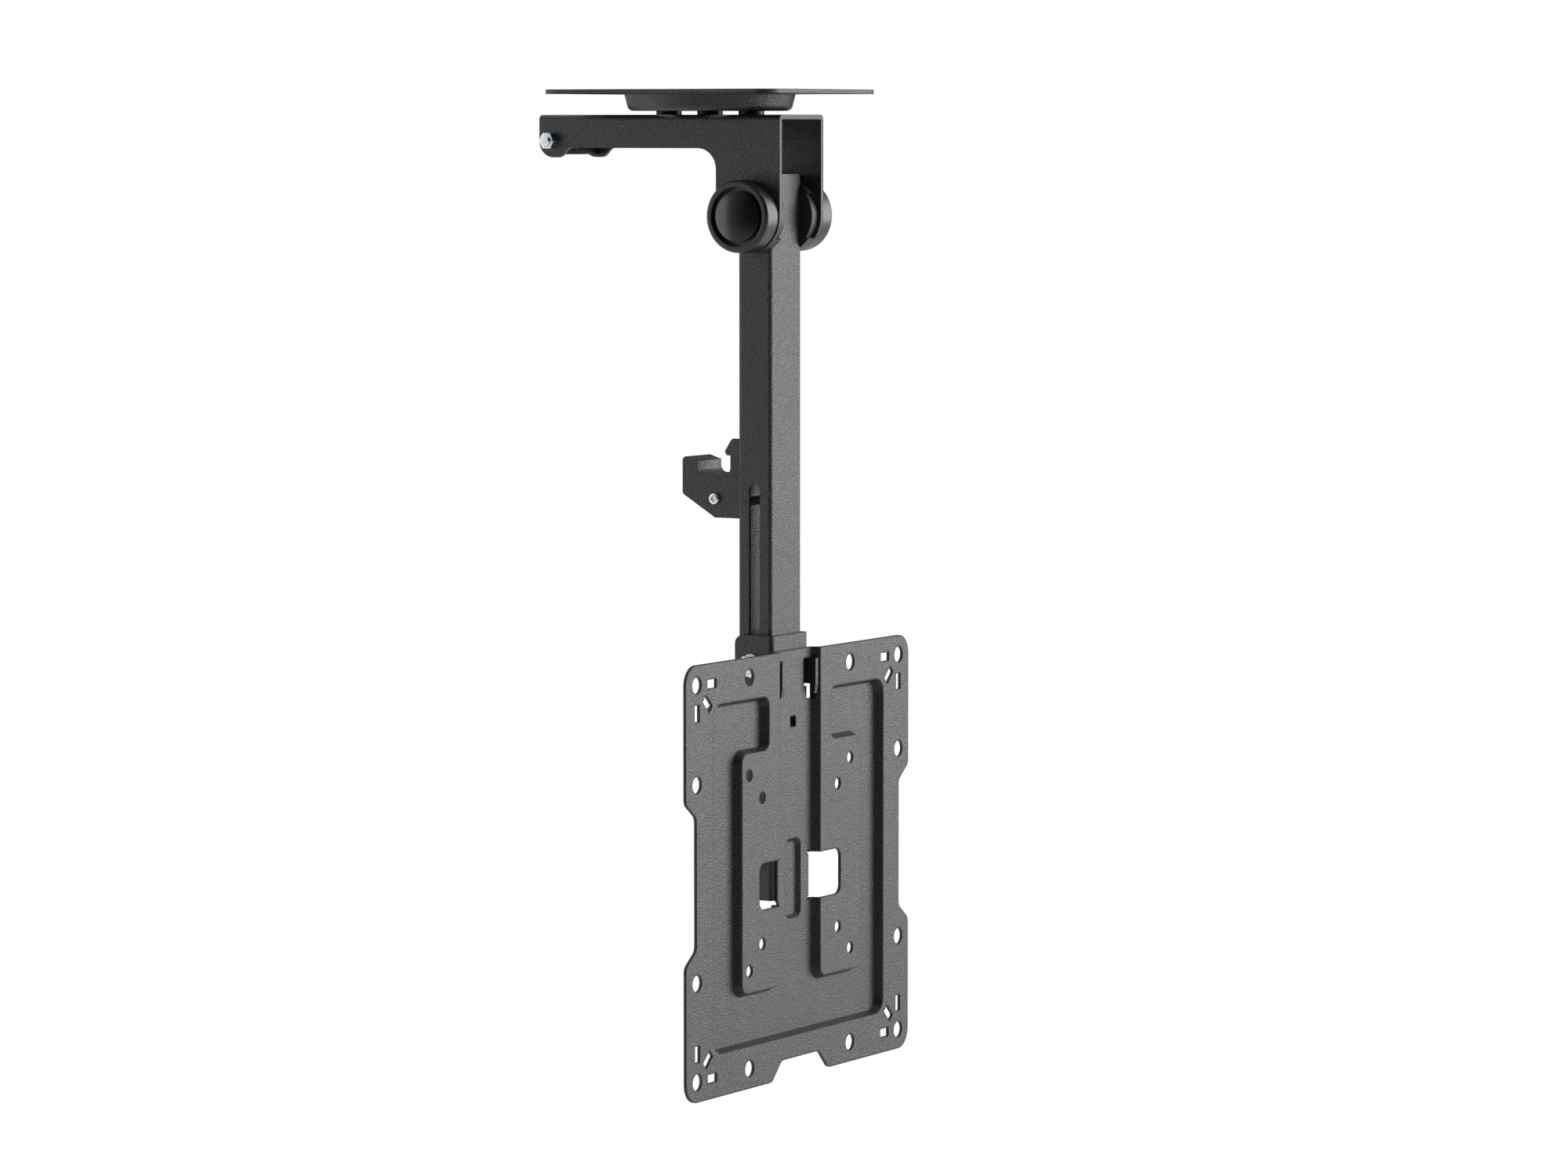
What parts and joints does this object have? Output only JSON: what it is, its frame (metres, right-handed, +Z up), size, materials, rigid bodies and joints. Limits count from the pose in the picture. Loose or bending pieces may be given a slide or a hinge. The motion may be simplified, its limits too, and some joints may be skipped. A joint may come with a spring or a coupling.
{
  "type": "tv ceiling mount",
  "caption": "Folding ceiling mount for a small screen: ceiling plate, swivelling arm, hinged drop tube with a catch, and a height-adjustable screen plate.",
  "frame": {"origin": "on the swivel axis, at the face of the ceiling plate that lies against the ceiling", "axes": "+Z up, -Y towards the screen, +X to the right of a person who faces the screen plate"},
  "size_m": [0.2208, 0.1611, 0.5071],
  "materials": {
    "powder_coat": "fine-grained satin powder coat",
    "zinc_steel": "bright zinc plate",
    "black_plastic": "satin moulded",
    "disc_steel": "satin"
  },
  "bodies": {
    "ceiling": {"ceiling_plate": "powder_coat"},
    "arm": {"swivel_arm": "powder_coat", "pivot_bolt": "zinc_steel", "pivot_washer_top": "zinc_steel", "pivot_spacer": "zinc_steel", "pivot_washer_under": "zinc_steel", "pivot_nut": "zinc_steel", "clamp_bolts": "zinc_steel", "clamp_washers": "zinc_steel", "clamp_spacers": "zinc_steel", "clamp_nuts": "zinc_steel", "hinge_bolt": "zinc_steel", "hinge_nut": "zinc_steel", "hinge_washers": "zinc_steel", "hub_cover_left": "black_plastic", "hub_cover_right": "black_plastic", "hub_cap_left": "black_plastic", "hub_cap_right": "black_plastic", "catch_bolt": "zinc_steel", "catch_nut": "zinc_steel", "catch_sleeve": "black_plastic"},
    "drop": {"drop_tube": "powder_coat", "tube_plug": "black_plastic", "hinge_bush": "zinc_steel", "hinge_disc_left": "disc_steel", "hinge_disc_right": "disc_steel", "catch_bracket": "powder_coat", "catch_insert": "black_plastic", "catch_screw": "zinc_steel"},
    "carriage": {"slide_bracket": "powder_coat", "height_bolts": "zinc_steel", "height_washers": "zinc_steel", "height_nuts": "zinc_steel", "vesa_plate": "powder_coat"}
  },
  "joints": [
    {"name": "swivel", "type": "hinge", "parent": "ceiling", "child": "arm", "pos_m": [0, 0, 0], "axis": [0, 0, 1], "range_deg": [-60, 60]},
    {"name": "fold", "type": "hinge", "parent": "arm", "child": "drop", "pos_m": [0, -0.036, -0.0645], "axis": [1, 0, 0], "range_deg": [0, 95]},
    {"name": "height", "type": "slide", "parent": "drop", "child": "carriage", "axis": [0, 0, 1], "range_m": [0, 0.085]}
  ]
}
